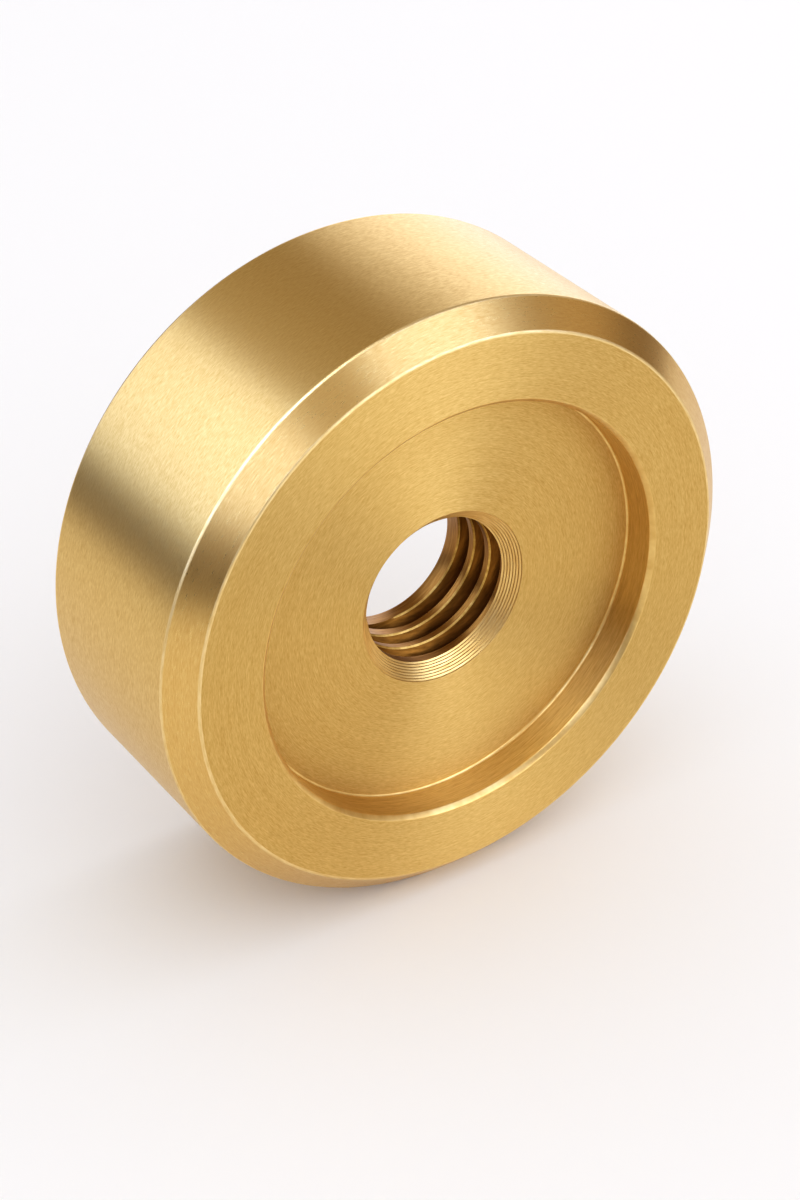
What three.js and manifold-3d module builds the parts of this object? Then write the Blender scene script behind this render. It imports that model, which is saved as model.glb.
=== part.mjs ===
// Round nut turned from brass bar: a short cylinder with a bevelled front edge, a shallow
// recess in its front face, a deeper counterbore in its back face, and a threaded hole through
// the web between them. It is one piece of metal.
//
// Millimetres, +Z up. The nut stands on its edge with its axis along Y. Its front face looks
// towards -Y, and the origin is the middle of its box.
import * as THREE from 'three';
import { mergeVertices } from 'three/addons/utils/BufferGeometryUtils.js';
import Module from 'manifold-3d';

// overall size
const outerDiameter = 42;
const thickness = 15.5;

// outside edges, both bevelled at 45 degrees
const frontBevel = 1.7;
const rearBevel = 0.4;

// recess in the front face
const recessDiameter = 29.2;
const recessDepth = 2.6;

// web that carries the thread, and the counterbore behind it
const webThickness = 7.2;
const counterboreDiameter = 28;

// small features of both recesses
const rimBreak = 0.3;               // bevel that takes the sharp edge off each rim
const cornerFillet = 0.2;           // radius left by the tool between floor and wall

// M12 x 1.75 right-hand thread, cut from the front
const threadMajorDiameter = 12;
const threadPitch = 1.75;
const crestClearance = 0.1;         // how far the crests stand back from the standard's own radius
const countersinkClearance = 0.1;   // how far the countersink's mouth stands outside the thread
const plainCollar = 0.5;            // unthreaded ring left at the back end of the hole
const threadEndAngle = THREE.MathUtils.degToRad(-135);  // where the groove stops, from +Z

// faceting: the count is a multiple of 4, so that a flat faces straight up, down and sideways
const facets = 72;
const filletSteps = 2;
const cutterOverlap = 0.3;          // how far the thread cutter stands in the open hole
const mergeDistance = 1e-4;

const facetAngle = 2 * Math.PI / facets;
const firstCorner = facetAngle / 2;
// flats touch the true circle, so each corner is a little further out
const radius = (diameter) => diameter / 2 / Math.cos(facetAngle / 2);

// ISO metric profile: the groove is 5/8 of the full 60 degree triangle deep, and flat at its root
const flankAngle = THREE.MathUtils.degToRad(30);
const fullTriangle = threadPitch / 2 / Math.tan(flankAngle);
const threadMinorDiameter = threadMajorDiameter - 2 * (5 / 8 * fullTriangle - crestClearance);
const rootFlat = threadPitch / 8;

// stations along the axis
const frontFace = -thickness / 2;
const rearFace = thickness / 2;
const recessFloor = frontFace + recessDepth;
const counterboreFloor = recessFloor + webThickness;

// The section of the nut, radius across and distance along the axis up. It closes on itself.
function bodySection() {
  const outer = radius(outerDiameter);
  const recess = radius(recessDiameter);
  const counterbore = radius(counterboreDiameter);
  const hole = radius(threadMinorDiameter);
  const countersink = radius(threadMajorDiameter + 2 * countersinkClearance);

  const section = new THREE.Path();
  section.moveTo(hole, counterboreFloor);
  section.lineTo(hole, recessFloor + countersink - hole);
  section.lineTo(countersink, recessFloor);
  section.absarc(recess - cornerFillet, recessFloor - cornerFillet, cornerFillet, Math.PI / 2, 0, true);
  section.lineTo(recess, frontFace + rimBreak);
  section.lineTo(recess + rimBreak, frontFace);
  section.lineTo(outer - frontBevel, frontFace);
  section.lineTo(outer, frontFace + frontBevel);
  section.lineTo(outer, rearFace - rearBevel);
  section.lineTo(outer - rearBevel, rearFace);
  section.lineTo(counterbore + rimBreak, rearFace);
  section.lineTo(counterbore, rearFace - rimBreak);
  section.absarc(counterbore - cornerFillet, counterboreFloor + cornerFillet, cornerFillet,
    0, -Math.PI / 2, true);
  section.lineTo(hole, counterboreFloor);
  return section.getPoints(filletSteps);
}

// Centre line of the thread groove, at the bottom of the groove. It runs towards the back.
class ThreadHelix extends THREE.Curve {
  constructor(rootRadius, front, back) {
    super();
    this.rootRadius = rootRadius;
    this.back = back;
    this.steps = Math.ceil((back - front) / threadPitch * facets);
    // the groove ends on a corner of the faceted hole, so its own corners match the hole's
    this.endAngle = firstCorner + Math.round((threadEndAngle - firstCorner) / facetAngle) * facetAngle;
  }

  angleAt(t) {
    return this.endAngle - (1 - t) * this.steps * facetAngle;
  }

  getPoint(t, target = new THREE.Vector3()) {
    const angle = this.angleAt(t);
    const y = this.back - (1 - t) * this.steps / facets * threadPitch;
    return target.set(this.rootRadius * Math.sin(angle), y, this.rootRadius * Math.cos(angle));
  }

  getPointAt(t, target) {
    return this.getPoint(t, target);
  }

  // keeps the section upright in the plane through the axis, as a lathe tool is held
  computeFrenetFrames(segments) {
    const frames = { tangents: [], normals: [], binormals: [] };
    for (let i = 0; i <= segments; i++) {
      const angle = this.angleAt(i / segments);
      frames.tangents.push(new THREE.Vector3(Math.cos(angle), 0, -Math.sin(angle)));
      frames.normals.push(new THREE.Vector3(Math.sin(angle), 0, Math.cos(angle)));
      frames.binormals.push(new THREE.Vector3(0, -1, 0));
    }
    return frames;
  }
}

// The metal that the thread takes out: a 60 degree groove swept along the helix.
function threadCutter() {
  const root = radius(threadMajorDiameter);
  const reach = root - radius(threadMinorDiameter) + cutterOverlap;
  const rootHalf = rootFlat / 2;
  const mouthHalf = rootHalf + reach * Math.tan(flankAngle);
  const groove = new THREE.Shape([
    new THREE.Vector2(0, -rootHalf),
    new THREE.Vector2(0, rootHalf),
    new THREE.Vector2(-reach, mouthHalf),
    new THREE.Vector2(-reach, -mouthHalf),
  ]);
  const front = recessFloor - mouthHalf;
  const back = counterboreFloor - plainCollar - mouthHalf;
  const helix = new ThreadHelix(root, front, back);
  return new THREE.ExtrudeGeometry(groove, { steps: helix.steps, extrudePath: helix });
}

function toSolid(wasm, geometry) {
  geometry.deleteAttribute('normal');
  geometry.deleteAttribute('uv');
  const merged = mergeVertices(geometry, mergeDistance);
  return new wasm.Manifold(new wasm.Mesh({
    numProp: 3,
    vertProperties: new Float32Array(merged.attributes.position.array),
    triVerts: new Uint32Array(merged.index.array),
  }));
}

function toGeometry(solid) {
  const mesh = solid.getMesh();
  const geometry = new THREE.BufferGeometry();
  geometry.setAttribute('position', new THREE.BufferAttribute(mesh.vertProperties, 3));
  geometry.setIndex(new THREE.BufferAttribute(mesh.triVerts, 1));
  geometry.computeVertexNormals();
  return geometry;
}

const wasm = await Module();
wasm.setup();

const blank = toSolid(wasm, new THREE.LatheGeometry(bodySection(), facets, firstCorner));
const cutter = toSolid(wasm, threadCutter());

const satinBrass = new THREE.MeshStandardMaterial({ color: 0xc79a4b, roughness: 0.38, metalness: 1 });

const nutBody = new THREE.Mesh(toGeometry(blank.subtract(cutter)), satinBrass);
nutBody.name = 'nut_body';

const group = new THREE.Group();
group.add(nutBody);

export default group;
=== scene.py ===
import bpy
import bmesh
import math
import mathutils
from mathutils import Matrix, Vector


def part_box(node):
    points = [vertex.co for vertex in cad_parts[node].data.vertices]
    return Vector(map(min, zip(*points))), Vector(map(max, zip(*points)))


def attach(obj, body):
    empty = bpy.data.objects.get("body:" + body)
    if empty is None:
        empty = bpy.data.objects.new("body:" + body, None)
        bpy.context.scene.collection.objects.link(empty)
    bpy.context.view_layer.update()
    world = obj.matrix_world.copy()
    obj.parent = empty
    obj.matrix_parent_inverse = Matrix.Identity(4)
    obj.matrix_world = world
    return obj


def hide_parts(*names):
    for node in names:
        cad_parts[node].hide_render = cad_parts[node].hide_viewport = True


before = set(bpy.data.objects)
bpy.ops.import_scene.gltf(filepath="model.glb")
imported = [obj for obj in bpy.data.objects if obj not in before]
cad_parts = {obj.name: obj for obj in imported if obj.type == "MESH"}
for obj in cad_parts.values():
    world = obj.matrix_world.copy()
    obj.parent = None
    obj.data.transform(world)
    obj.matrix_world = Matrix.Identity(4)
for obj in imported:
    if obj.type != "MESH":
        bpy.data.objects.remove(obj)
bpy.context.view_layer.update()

mm = 0.001
nutLow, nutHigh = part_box("nut_body")
outerRadius = (nutHigh[0] - nutLow[0]) / 2
frontFace = nutLow[1]
rearFace = nutHigh[1]
placeSlack = 0.02 * mm      # how near to a ring or an end its corners have to be


# small helpers for modelling by hand

def deselectAll():
    if bpy.context.object and bpy.context.object.mode != "OBJECT":
        bpy.ops.object.mode_set(mode="OBJECT")
    bpy.ops.object.select_all(action="DESELECT")


def makeActive(piece):
    deselectAll()
    piece.select_set(True)
    bpy.context.view_layer.objects.active = piece


def startEditing(piece):
    makeActive(piece)
    bpy.ops.object.mode_set(mode="EDIT")


def pick(kind, test):
    # selects the vertices, edges or faces that pass the test, and nothing else
    bpy.ops.mesh.select_mode(type=kind)
    bpy.ops.mesh.select_all(action="DESELECT")
    mesh = bmesh.from_edit_mesh(bpy.context.edit_object.data)
    items = {"VERT": mesh.verts, "EDGE": mesh.edges, "FACE": mesh.faces}[kind]
    for item in items:
        if test(item):
            item.select_set(True)
    bmesh.update_edit_mesh(bpy.context.edit_object.data)


def radiusOf(point):
    return math.hypot(point.x, point.z)


def pickRing(radius, along):
    # the loop of edges at this radius and this place along the axis
    def onRing(vert):
        return abs(radiusOf(vert.co) - radius) < placeSlack and abs(vert.co.y - along) < placeSlack
    pick("EDGE", lambda edge: all(onRing(vert) for vert in edge.verts))


def applyModifiers(piece):
    makeActive(piece)
    for modifier in list(piece.modifiers):
        bpy.ops.object.modifier_apply(modifier=modifier.name)


# the camera comes first, so that the rest can be judged through it

cameraSetup = {
    "aim": (-0.42 * mm, -0.76 * mm, -2.46 * mm),
    "distance": 175 * mm,
    "azimuth": -33.52,      # degrees round the nut, from straight in front
    "elevation": 33.56,
    "lens": 81,
    "sensorWidth": 36,
    "clipStart": 10 * mm,
}


def makeCamera(setup):
    turn = math.radians(setup["azimuth"])
    lift = math.radians(setup["elevation"])
    back = (math.sin(turn) * math.cos(lift), -math.cos(turn) * math.cos(lift), math.sin(lift))
    place = [a + setup["distance"] * b for a, b in zip(setup["aim"], back)]
    bpy.ops.object.camera_add(location=place, rotation=(math.pi / 2 - lift, 0, turn))
    camera = bpy.context.object
    camera.data.lens = setup["lens"]
    camera.data.sensor_width = setup["sensorWidth"]
    camera.data.clip_start = setup["clipStart"]
    bpy.context.scene.camera = camera


makeCamera(cameraSetup)
print("camera placed")


# materials

def linear(hexColour):
    # an sRGB hex value as the linear colour that a shader wants
    channels = [int(hexColour[i:i + 2], 16) / 255 for i in (0, 2, 4)]
    return [c / 12.92 if c <= 0.04045 else ((c + 0.055) / 1.055) ** 2.4 for c in channels] + [1]


def addNode(tree, kind, settings=None, inputs=None, links=None):
    # settings are the node's own, inputs are socket values, links go from other nodes' sockets
    node = tree.nodes.new(kind)
    for name, value in (settings or {}).items():
        setattr(node, name, value)
    for name, value in (inputs or {}).items():
        node.inputs[name].default_value = value
    for name, socket in (links or {}).items():
        tree.links.new(socket, node.inputs[name])
    return node


def newMaterial(name):
    material = bpy.data.materials.new(name)
    material.use_nodes = True
    material.node_tree.nodes.clear()
    return material, material.node_tree


# What the lathe leaves on each surface of the nut, and in some colours painted light: the bore and the bored
# walls painted darker as shade, the thread's edges and the rounded edges paler as highlights. Marks are in
# millimetres, and real
# ones are finer still: these are as coarse as they need to be to show. stretch spreads highlights across the
# marks, rings is the share of long marks, and along is -1 on a cone that narrows inwards.
brassFinishes = {
    "turnedSideBrass": {"light": "e5c47c", "dark": "cfa65c", "roughness": 0.34, "stretch": 0.5,
                        "along": 1, "markWidth": 0.06, "markLength": 0.4, "markDepth": 0.002, "rings": 0.05},
    "facedBrass": {"light": "e5c37a", "dark": "cfa65a", "roughness": 0.5, "stretch": 0.76,
                   "along": 1, "markWidth": 0.06, "markLength": 0.45, "markDepth": 0.0015, "rings": 0.25},
    "bevelledBrass": {"light": "e5c27a", "dark": "d4a860", "roughness": 0.31, "stretch": 0.5,
                      "along": 1, "markWidth": 0.08, "markLength": 0.5, "markDepth": 0.0015, "rings": 0.2},
    # the bored walls are a little darker than the outside: painted shade on the recess and counterbore walls
    "boredWallPaintedShadeBrass": {"light": "e2bc70", "dark": "c49a50", "roughness": 0.46, "stretch": 0.88,
                       "along": 1, "markWidth": 0.08, "markLength": 0.9, "markDepth": 0.002, "rings": 0.4},
    "countersunkBrass": {"light": "eecd88", "dark": "d0a45a", "roughness": 0.36, "stretch": 0.4,
                         "along": -1, "markWidth": 0.1, "markLength": 1, "markDepth": 0.002, "rings": 0.3},
    # the thread's crest and groove are much darker than the brass outside: painted shade in the hole,
    # darkest in the groove
    "threadCrestPaintedShadeBrass": {"light": "b68440", "dark": "865a22", "roughness": 0.38, "stretch": 0.4,
                         "along": 1, "markWidth": 0.09, "markLength": 1, "markDepth": 0.004, "rings": 0.5},
    "threadGroovePaintedShadeBrass": {"light": "986628", "dark": "5c3810", "roughness": 0.42, "stretch": 0.3,
                          "along": 1, "markWidth": 0.09, "markLength": 1, "markDepth": 0.004, "rings": 0.5},
    # the thread's edges are painted lighter than its crest and groove: a painted highlight along the lands
    "threadEdgePaintedHighlightBrass": {"light": "e0b664", "dark": "b88c40", "roughness": 0.38, "stretch": 0.0,
                        "along": 1, "markWidth": 0.09, "markLength": 0.4, "markDepth": 0.003, "rings": 0.2},
    "brokenEdgeBrass": {"light": "e8c67e", "dark": "d4ab62", "roughness": 0.36, "stretch": 0.3,
                        "along": 1, "markWidth": 0.1, "markLength": 1, "markDepth": 0.0005, "rings": 0.2},
    # the rounded edges are painted paler than the faces beside them: a painted highlight along the edges
    "edgePaintedHighlightBrass": {"light": "f2d69a", "dark": "e2c07c", "roughness": 0.4, "stretch": 0.0,
                           "along": 1, "markWidth": 0.2, "markLength": 1, "markDepth": 0.0005, "rings": 0},
}


turningMarks = {
    "ringArc": 12 * mm,         # how far a long mark runs before it fades
    "ringWiden": 0.6,           # long marks are this much coarser than the short strokes
    "grainRange": (0.3, 0.7),   # the part of the noise that reaches from dark to light
    "roughnessSpread": 0.05,
}


def makeTurnedBrass(name, finish):
    # free-cutting brass as it leaves the tool: warm yellow metal with a satin sheen, covered in
    # fine marks that run round the axis, so highlights spread across the marks
    material, tree = newMaterial(name)
    place = addNode(tree, "ShaderNodeTexCoord").outputs["Object"]
    parts = addNode(tree, "ShaderNodeSeparateXYZ", links={"Vector": place}).outputs
    flat = addNode(tree, "ShaderNodeCombineXYZ", links={"X": parts["X"], "Z": parts["Z"]})
    radius = addNode(tree, "ShaderNodeVectorMath", {"operation": "LENGTH"}, links={0: flat.outputs[0]})
    # a distance that grows both outwards and along the axis, so it crosses the marks everywhere
    across = addNode(tree, "ShaderNodeMath", {"operation": "MULTIPLY_ADD"}, {1: finish["along"]},
                     {0: parts["Y"], 2: radius.outputs["Value"]})
    marks = addNode(tree, "ShaderNodeCombineXYZ",
                    links={"X": across.outputs[0], "Y": parts["X"], "Z": parts["Z"]})
    width = 1 / (finish["markWidth"] * mm)
    length = 1 / (finish["markLength"] * mm)
    around = 1 / turningMarks["ringArc"]
    strokePlace = addNode(tree, "ShaderNodeMapping", inputs={"Scale": (width, length, length)},
                          links={"Vector": marks.outputs[0]})
    strokes = addNode(tree, "ShaderNodeTexNoise", inputs={"Scale": 1, "Detail": 2, "Roughness": 0.6},
                      links={"Vector": strokePlace.outputs[0]})
    ringPlace = addNode(tree, "ShaderNodeMapping",
                        inputs={"Scale": (width * turningMarks["ringWiden"], around, around)},
                        links={"Vector": marks.outputs[0]})
    rings = addNode(tree, "ShaderNodeTexNoise", inputs={"Scale": 1, "Detail": 2, "Roughness": 0.7},
                    links={"Vector": ringPlace.outputs[0]})
    both = addNode(tree, "ShaderNodeMix", inputs={0: finish["rings"]},
                   links={2: strokes.outputs["Fac"], 3: rings.outputs["Fac"]})
    lowest, highest = turningMarks["grainRange"]
    grain = addNode(tree, "ShaderNodeMapRange", inputs={"From Min": lowest, "From Max": highest},
                    links={"Value": both.outputs[0]}).outputs[0]
    colour = addNode(tree, "ShaderNodeMix", {"data_type": "RGBA"}, links={0: grain})
    colour.inputs[6].default_value = linear(finish["dark"])
    colour.inputs[7].default_value = linear(finish["light"])
    spread = turningMarks["roughnessSpread"]
    rough = addNode(tree, "ShaderNodeMapRange",
                    inputs={"To Min": finish["roughness"] + spread, "To Max": finish["roughness"] - spread},
                    links={"Value": grain})
    bump = addNode(tree, "ShaderNodeBump",
                   inputs={"Strength": 1, "Distance": finish["markDepth"] * mm}, links={"Height": grain})
    shader = addNode(tree, "ShaderNodeBsdfPrincipled",
                     inputs={"Metallic": 1, "Anisotropic": finish["stretch"], "Anisotropic Rotation": 0.25},
                     links={"Base Color": colour.outputs[2], "Roughness": rough.outputs[0],
                            "Normal": bump.outputs[0]})
    roundTheAxis = addNode(tree, "ShaderNodeTangent", {"direction_type": "RADIAL", "axis": "Y"})
    tree.links.new(roundTheAxis.outputs[0], shader.inputs["Tangent"])
    addNode(tree, "ShaderNodeOutputMaterial", links={"Surface": shader.outputs[0]})
    return material


brass = {name: makeTurnedBrass(name, finish) for name, finish in brassFinishes.items()}
print("brass finishes made")


nutSizes = {
    "sides": 288,           # corners of the circle that everything round is cut from
    "frontBevel": 1.7 * mm,
    "rearBevel": 0.4 * mm,
    "recessRadius": 14.6 * mm,
    "recessDepth": 2.6 * mm,
    "webThickness": 7.2 * mm,
    "counterboreRadius": 14 * mm,
    "rimBreak": 0.3 * mm,
    "cornerFillet": 0.2 * mm,
    "holeRadius": 5.153 * mm,
    "countersinkRadius": 6.1 * mm,
    "countersinkRings": 7,
    "ringDepth": 0.045 * mm,
    "edgeRound": 0.12 * mm,
    "fineRound": 0.05 * mm,
    "smoothAngle": 24,      # degrees: sharper edges than this stay crisp
}


def bevelRing(radius, along, offset, segments=1, profile=0.5):
    pickRing(radius, along)
    bpy.ops.mesh.bevel(offset=offset, segments=segments, profile=profile, affect="EDGES")


def sinkInto(face, wallRadius, depth, holeRadius, sizes):
    # face is frontFace or rearFace: an inset ring, a pocket, then the hole's outline on its floor
    inwards = 1 if face < 0 else -1

    def isRoundEnd(item):
        return len(item.verts) == sizes["sides"] and abs(item.calc_center_median().y - face) < placeSlack
    pick("FACE", isRoundEnd)
    bpy.ops.mesh.inset(thickness=outerRadius - wallRadius)
    bpy.ops.mesh.extrude_region_move(TRANSFORM_OT_translate={"value": (0, inwards * depth, 0)})
    bpy.ops.mesh.inset(thickness=wallRadius - holeRadius)


def makeNutBlank(sizes):
    deselectAll()
    bpy.ops.mesh.primitive_cylinder_add(vertices=sizes["sides"], radius=outerRadius,
                                        depth=rearFace - frontFace, rotation=(math.pi / 2, 0, 0))
    nut = bpy.context.object
    nut.name = "roundNut"
    bpy.ops.object.transform_apply(location=True, rotation=True, scale=True)
    recessFloor = frontFace + sizes["recessDepth"]
    counterboreFloor = recessFloor + sizes["webThickness"]
    hole = sizes["holeRadius"]
    startEditing(nut)
    sinkInto(frontFace, sizes["recessRadius"], sizes["recessDepth"], hole, sizes)
    sinkInto(rearFace, sizes["counterboreRadius"], rearFace - counterboreFloor, hole, sizes)
    # the two round faces left in the web open into the hole
    pick("FACE", lambda item: len(item.verts) == sizes["sides"])
    bpy.ops.mesh.bridge_edge_loops()

    bevelRing(outerRadius, frontFace, sizes["frontBevel"])
    bevelRing(outerRadius, rearFace, sizes["rearBevel"])
    bevelRing(sizes["recessRadius"], frontFace, sizes["rimBreak"])
    bevelRing(sizes["counterboreRadius"], rearFace, sizes["rimBreak"])
    bevelRing(sizes["recessRadius"], recessFloor, sizes["cornerFillet"], 5)
    bevelRing(sizes["counterboreRadius"], counterboreFloor, sizes["cornerFillet"], 5)
    # the countersink is a plain cone first, cut across into two loops for each feed ring, and its
    # profile is what keeps it straight
    bevelRing(hole, recessFloor, sizes["countersinkRadius"] - hole,
              segments=2 * sizes["countersinkRings"], profile=0.25)
    bevelRing(hole, counterboreFloor, sizes["fineRound"], 2)
    # break every edge that a hand would feel
    for radius, along in [(outerRadius, frontFace + sizes["frontBevel"]),
                          (outerRadius - sizes["frontBevel"], frontFace),
                          (outerRadius, rearFace - sizes["rearBevel"]),
                          (outerRadius - sizes["rearBevel"], rearFace)]:
        bevelRing(radius, along, sizes["edgeRound"], 4)
    for wall, face, inwards in [(sizes["recessRadius"], frontFace, 1),
                                (sizes["counterboreRadius"], rearFace, -1)]:
        bevelRing(wall + sizes["rimBreak"], face, sizes["fineRound"], 2)
        bevelRing(wall, face + inwards * sizes["rimBreak"], sizes["fineRound"], 2)
    cutFeedRings(sizes, recessFloor)
    bpy.ops.object.mode_set(mode="OBJECT")
    return nut


def cutFeedRings(sizes, recessFloor):
    # every second loop of the countersink is drawn back, which leaves fine steps round the cone
    hole = sizes["holeRadius"]
    reach = sizes["countersinkRadius"] - hole
    count = 2 * sizes["countersinkRings"]
    for step in range(1, count, 2):
        radius = hole + reach * step / count
        along = recessFloor + reach * (count - step) / count
        pickRing(radius, along)
        wider = 1 + sizes["ringDepth"] / radius
        bpy.ops.transform.resize(value=(wider, 1, wider))


threadSizes = {
    "rootRadius": 6 * mm,
    "pitch": 1.75 * mm,
    "flank": 30,            # degrees each side
    "collar": 0.5 * mm,     # left plain at the back of the hole
    "crestBreak": 0.1 * mm,
    "overlap": 0.1 * mm,    # how far the cutter stands in the open hole
    "mouthSpare": 1.1,      # its sides spread this much faster than at 45 degrees there
    "stepsPerTurn": 120,
    "endAngle": -132.5,     # where the groove stops, in degrees from straight up
    "turns": 2.95,          # from its start in the countersink
    "runOut": 4.5 * mm,     # how much of each end is drawn in towards the axis
    "endScale": 0.8,
}


def makeThreadCutter(sizes, nut):
    # the outline of the groove, wound round the hole and closed at both ends
    hole = nut["holeRadius"]
    slope = math.tan(math.radians(sizes["flank"]))
    rootHalf = sizes["pitch"] / 8 / 2       # the root's flat is an eighth of the pitch
    breakRadius = hole + sizes["crestBreak"]
    breakHalf = rootHalf + (sizes["rootRadius"] - breakRadius) * slope
    mouthHalf = breakHalf + (sizes["crestBreak"] + sizes["overlap"]) * sizes["mouthSpare"]
    recessFloor = frontFace + nut["recessDepth"]
    back = recessFloor + nut["webThickness"] - sizes["collar"] - mouthHalf
    turns = sizes["turns"]
    front = back - turns * sizes["pitch"]
    outline = [(-mouthHalf, hole - sizes["overlap"]), (-breakHalf, breakRadius),
               (-rootHalf, sizes["rootRadius"]), (rootHalf, sizes["rootRadius"]),
               (breakHalf, breakRadius), (mouthHalf, hole - sizes["overlap"])]

    deselectAll()
    bpy.ops.mesh.primitive_circle_add(vertices=len(outline), radius=sizes["rootRadius"])
    cutter = bpy.context.object
    cutter.name = "threadCutter"
    for vert, (along, radius) in zip(cutter.data.vertices, outline):
        vert.co = (0, front + along, radius)
    winding = cutter.modifiers.new("winding", "SCREW")
    winding.axis = "Y"
    winding.angle = turns * 2 * math.pi
    winding.screw_offset = back - front
    winding.steps = round(turns * sizes["stepsPerTurn"])
    winding.render_steps = winding.steps
    winding.use_merge_vertices = False
    applyModifiers(cutter)
    cutter.rotation_euler = (0, math.radians(sizes["endAngle"]) - turns * 2 * math.pi, 0)
    bpy.ops.object.transform_apply(location=True, rotation=True, scale=True)

    # both ends are drawn in towards the axis, so the groove runs out instead of stopping dead
    startEditing(cutter)
    smaller = sizes["endScale"]
    last = len(cutter.data.vertices) - len(outline)
    for isEnd in (lambda vert: vert.index >= last, lambda vert: vert.index < len(outline)):
        pick("VERT", isEnd)
        bpy.ops.transform.resize(value=(smaller, 1, smaller), center_override=(0, 0, 0),
                                 use_proportional_edit=True, proportional_edit_falloff="SMOOTH",
                                 proportional_size=sizes["runOut"], use_proportional_connected=True)
    bpy.ops.mesh.select_all(action="DESELECT")
    bpy.ops.mesh.select_mode(type="EDGE")
    bpy.ops.mesh.select_non_manifold()
    bpy.ops.mesh.fill_holes(sides=0)
    bpy.ops.mesh.select_all(action="SELECT")
    bpy.ops.mesh.normals_make_consistent(inside=False)
    bpy.ops.object.mode_set(mode="OBJECT")
    return cutter


def cutThread(nut, cutter):
    cut = nut.modifiers.new("thread", "BOOLEAN")
    cut.operation = "DIFFERENCE"
    cut.solver = "EXACT"
    cut.object = cutter
    applyModifiers(nut)
    bpy.data.objects.remove(cutter)


def finishShading(piece, smoothAngle):
    # round surfaces shade smoothly, flat ones stay flat right up to their edges
    makeActive(piece)
    bpy.ops.object.shade_smooth_by_angle(angle=math.radians(smoothAngle))
    weighted = piece.modifiers.new("flat faces stay flat", "WEIGHTED_NORMAL")
    weighted.keep_sharp = True
    weighted.weight = 100
    applyModifiers(piece)


# what tells the faces apart: a lean is how far a normal turns towards the axis, from 0 to 1
zoneLimits = {
    "small": 0.03 * mm,         # slack in a place or a radius
    "ringSlack": 0.051 * mm,    # the feed rings lie this close to the countersink's cone
    "coneLean": (0.3, 0.95),
    "bevelLean": (0.69, 0.73),
    "flatLean": 0.999,
    "wallLean": 0.02,
}


def finishOf(face, sizes):
    # which of the finishes a face has, from its place and the way it looks; the bore, the bored walls and
    # the edges also carry painted shade or a painted highlight
    recessFloor = frontFace + sizes["recessDepth"]
    radius = radiusOf(face.center)
    lean = abs(face.normal.y)
    small = zoneLimits["small"]
    if radius < sizes["countersinkRadius"] + small and recessFloor + small < face.center.y:
        fromCone = abs(radius + face.center.y - recessFloor - sizes["countersinkRadius"])
        leastLean, mostLean = zoneLimits["coneLean"]
        if fromCone < zoneLimits["ringSlack"] and leastLean < -face.normal.y < mostLean:
            return "countersunkBrass"
        if radius < sizes["holeRadius"] + small / 2:
            return "threadCrestPaintedShadeBrass"
        if radius < sizes["holeRadius"] + threadSizes["crestBreak"] + small / 2:
            return "threadEdgePaintedHighlightBrass"
        return "threadGroovePaintedShadeBrass"
    if lean > zoneLimits["flatLean"]:
        return "facedBrass"
    if radius > outerRadius - small and lean < zoneLimits["wallLean"]:
        return "turnedSideBrass"
    if lean < zoneLimits["wallLean"]:
        return "boredWallPaintedShadeBrass"
    if radius < sizes["recessRadius"] + 2 * sizes["rimBreak"]:
        return "brokenEdgeBrass"
    leastLean, mostLean = zoneLimits["bevelLean"]
    return "bevelledBrass" if leastLean < lean < mostLean else "edgePaintedHighlightBrass"


print("start modelling")
nut = makeNutBlank(nutSizes)
print("nut blank:", len(nut.data.polygons), "faces")
cutThread(nut, makeThreadCutter(threadSizes, nutSizes))
print("thread cut:", len(nut.data.polygons), "faces")
finishShading(nut, nutSizes["smoothAngle"])
for name in brassFinishes:
    nut.data.materials.append(brass[name])
zones = list(brassFinishes)
for face in nut.data.polygons:
    face.material_index = zones.index(finishOf(face, nutSizes))
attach(nut, "root")
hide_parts("nut_body")
print("nut finished")


floorSetup = {"centre": (0.01, -0.12), "radius": 0.3, "sides": 96, "colour": "f6f4f5"}


def makeFloor(setup):
    deselectAll()
    bpy.ops.mesh.primitive_circle_add(vertices=setup["sides"], radius=setup["radius"],
                                      fill_type="NGON", location=(*setup["centre"], nutLow[2]))
    floor = bpy.context.object
    floor.name = "floor"
    material, tree = newMaterial("paleBackgroundPaper")
    shader = addNode(tree, "ShaderNodeBsdfPrincipled",
                     inputs={"Base Color": linear(setup["colour"]), "Roughness": 0.9,
                             "Specular IOR Level": 0.1})
    addNode(tree, "ShaderNodeOutputMaterial", links={"Surface": shader.outputs[0]})
    floor.data.materials.append(material)


makeFloor(floorSetup)
print("floor laid")


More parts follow.
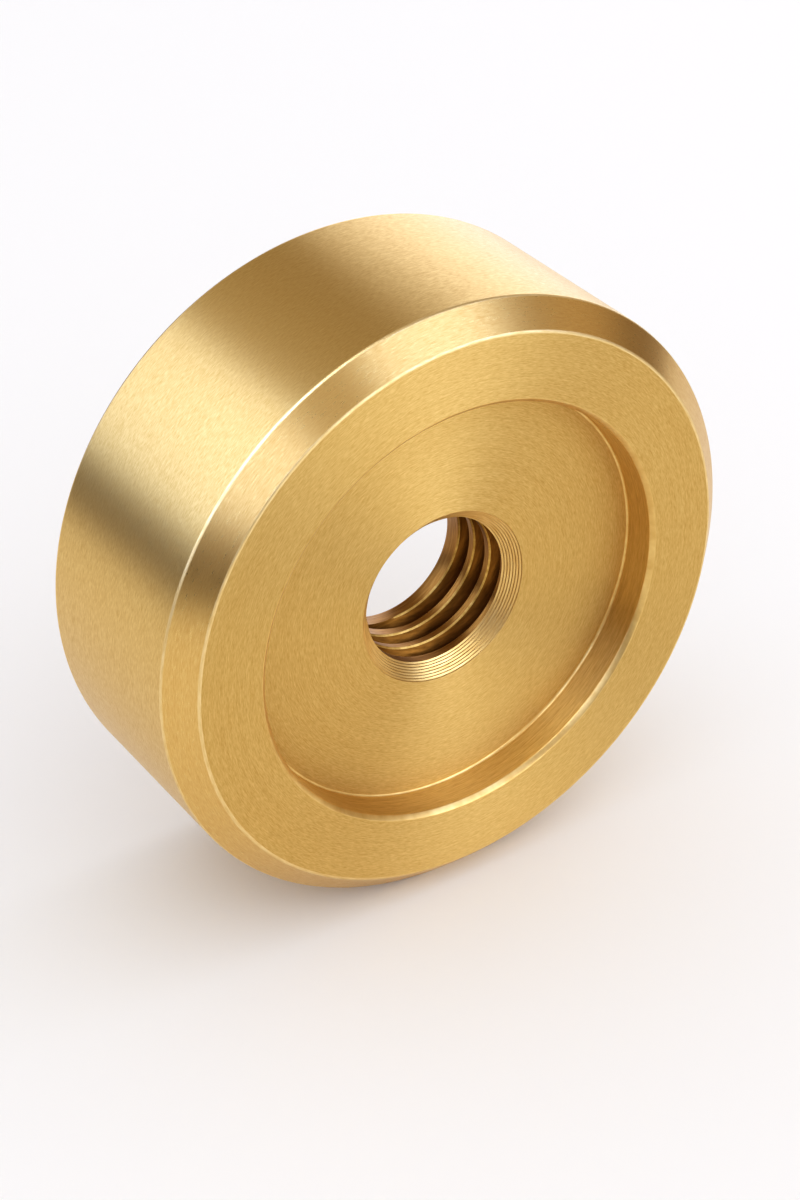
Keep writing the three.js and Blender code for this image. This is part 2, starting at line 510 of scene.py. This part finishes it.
# Softboxes: the direction from the nut, then distance, slide along its axis and size in metres,
# how bright the cloth looks and its colour, and whether the metal mirrors the box or the floor is
# lit by it. The cool cloths keep the brass highlights creamy.
softboxes = {
    "leftStrip": {"direction": (-0.78, 0, 0.628), "distance": 0.9, "slide": 0.5, "size": (1.5, 0.92),
                  "glow": 2.4, "cloth": "b2c8ff", "use": "metal"},
    "leftFront": {"direction": (-0.738, 0, 0.674), "distance": 0.9, "slide": -0.85, "size": (1.0, 0.62),
                  "glow": 1.85, "cloth": "b2c8ff", "use": "metal"},
    "frontKey": {"direction": (0.42, -0.65, 0.63), "distance": 0.9, "slide": 0, "size": (0.62, 0.95),
                 "glow": 1.95, "cloth": "b2c8ff", "use": "metal"},
    "lowFront": {"direction": (0.33, -0.92, 0.2), "distance": 0.9, "slide": 0, "size": (0.62, 0.5),
                 "glow": 1.75, "cloth": "e6f0ff", "use": "metal"},
    "overhead": {"direction": (-0.38, -0.04, 0.92), "distance": 0.9, "slide": 0, "size": (0.35, 0.6),
                 "glow": 4, "cloth": "e6f0ff", "use": "metal"},
    "backRight": {"direction": (0.7, 0.7, 0.15), "distance": 1.2, "slide": 0, "size": (0.9, 0.9),
                  "glow": 1.5, "cloth": "d8e4ff", "use": "metal"},
    "rightCard": {"direction": (0.94, -0.15, 0.14), "distance": 1.2, "slide": 0, "size": (1.4, 0.9),
                  "glow": 0.14, "cloth": "ffe8d0", "use": "metal"},
    "floorRight": {"direction": (0.75, -0.25, 0.6), "distance": 0.9, "slide": 0, "size": (1.1, 1.1),
                   "glow": 0.35, "cloth": "ffffff", "use": "floor"},
    "floorFront": {"direction": (-0.3, -0.8, 0.5), "distance": 0.9, "slide": 0, "size": (1.1, 1.1),
                   "glow": 0.35, "cloth": "f4f8ff", "use": "floor"},
}


def addSoftbox(name, setup):
    direction = mathutils.Vector(setup["direction"]).normalized()
    place = direction * setup["distance"] + mathutils.Vector((0, setup["slide"], 0))
    deselectAll()
    bpy.ops.object.light_add(type="AREA", location=place,
                             rotation=direction.to_track_quat("Z", "Y").to_euler())
    lamp = bpy.context.object
    lamp.name = name
    lamp.data.shape = "RECTANGLE"
    lamp.data.size, lamp.data.size_y = setup["size"]
    lamp.data.color = linear(setup["cloth"])[:3]
    # four watts for each square metre look as bright as a surface that glows with strength 1
    lamp.data.energy = 4 * setup["size"][0] * setup["size"][1] * setup["glow"]
    lamp.visible_glossy = setup["use"] == "metal"
    lamp.visible_diffuse = setup["use"] == "floor"


for name, setup in softboxes.items():
    addSoftbox(name, setup)

room = {
    "seen": 1.0,            # strength behind the nut, on the floor, and in the metal
    "onFloor": 0.76,
    "wall": "a89882",
    "horizon": "402a14",    # the dark far end of the room, level with the nut
    "inMetal": 0.84,
    "band": (0.06, 0.3),    # where the dark fades out, as the sine of the height above the horizon
}


def lightRoom(setup):
    # a pale even room for the floor, and its darker warm walls for what the metal mirrors
    world = bpy.data.worlds.new("room")
    bpy.context.scene.world = world
    world.use_nodes = True
    tree = world.node_tree
    tree.nodes.clear()
    rays = addNode(tree, "ShaderNodeLightPath").outputs
    seen, onFloor = [addNode(tree, "ShaderNodeBackground",
                             inputs={"Color": (1, 1, 1, 1), "Strength": setup[use]}).outputs[0]
                     for use in ("seen", "onFloor")]
    towards = addNode(tree, "ShaderNodeTexCoord").outputs["Generated"]
    height = addNode(tree, "ShaderNodeSeparateXYZ", links={"Vector": towards}).outputs["Z"]
    fromHorizon = addNode(tree, "ShaderNodeMath", {"operation": "ABSOLUTE"}, links={0: height})
    upTheWall = addNode(tree, "ShaderNodeMapRange", {"interpolation_type": "SMOOTHSTEP"},
                        {"From Min": setup["band"][0], "From Max": setup["band"][1]},
                        {"Value": fromHorizon.outputs[0]})
    colour = addNode(tree, "ShaderNodeMix", {"data_type": "RGBA"}, links={0: upTheWall.outputs[0]})
    colour.inputs[6].default_value = linear(setup["horizon"])
    colour.inputs[7].default_value = linear(setup["wall"])
    inMetal = addNode(tree, "ShaderNodeBackground", inputs={"Strength": setup["inMetal"]},
                      links={"Color": colour.outputs[2]})
    lit = addNode(tree, "ShaderNodeMixShader",
                  links={0: rays["Is Glossy Ray"], 1: onFloor, 2: inMetal.outputs[0]})
    whole = addNode(tree, "ShaderNodeMixShader",
                    links={0: rays["Is Camera Ray"], 1: lit.outputs[0], 2: seen})
    addNode(tree, "ShaderNodeOutputWorld", links={"Surface": whole.outputs[0]})


lightRoom(room)
bpy.context.scene.view_settings.view_transform = "Standard"
bpy.context.scene.view_settings.look = "Medium High Contrast"
print("light set")
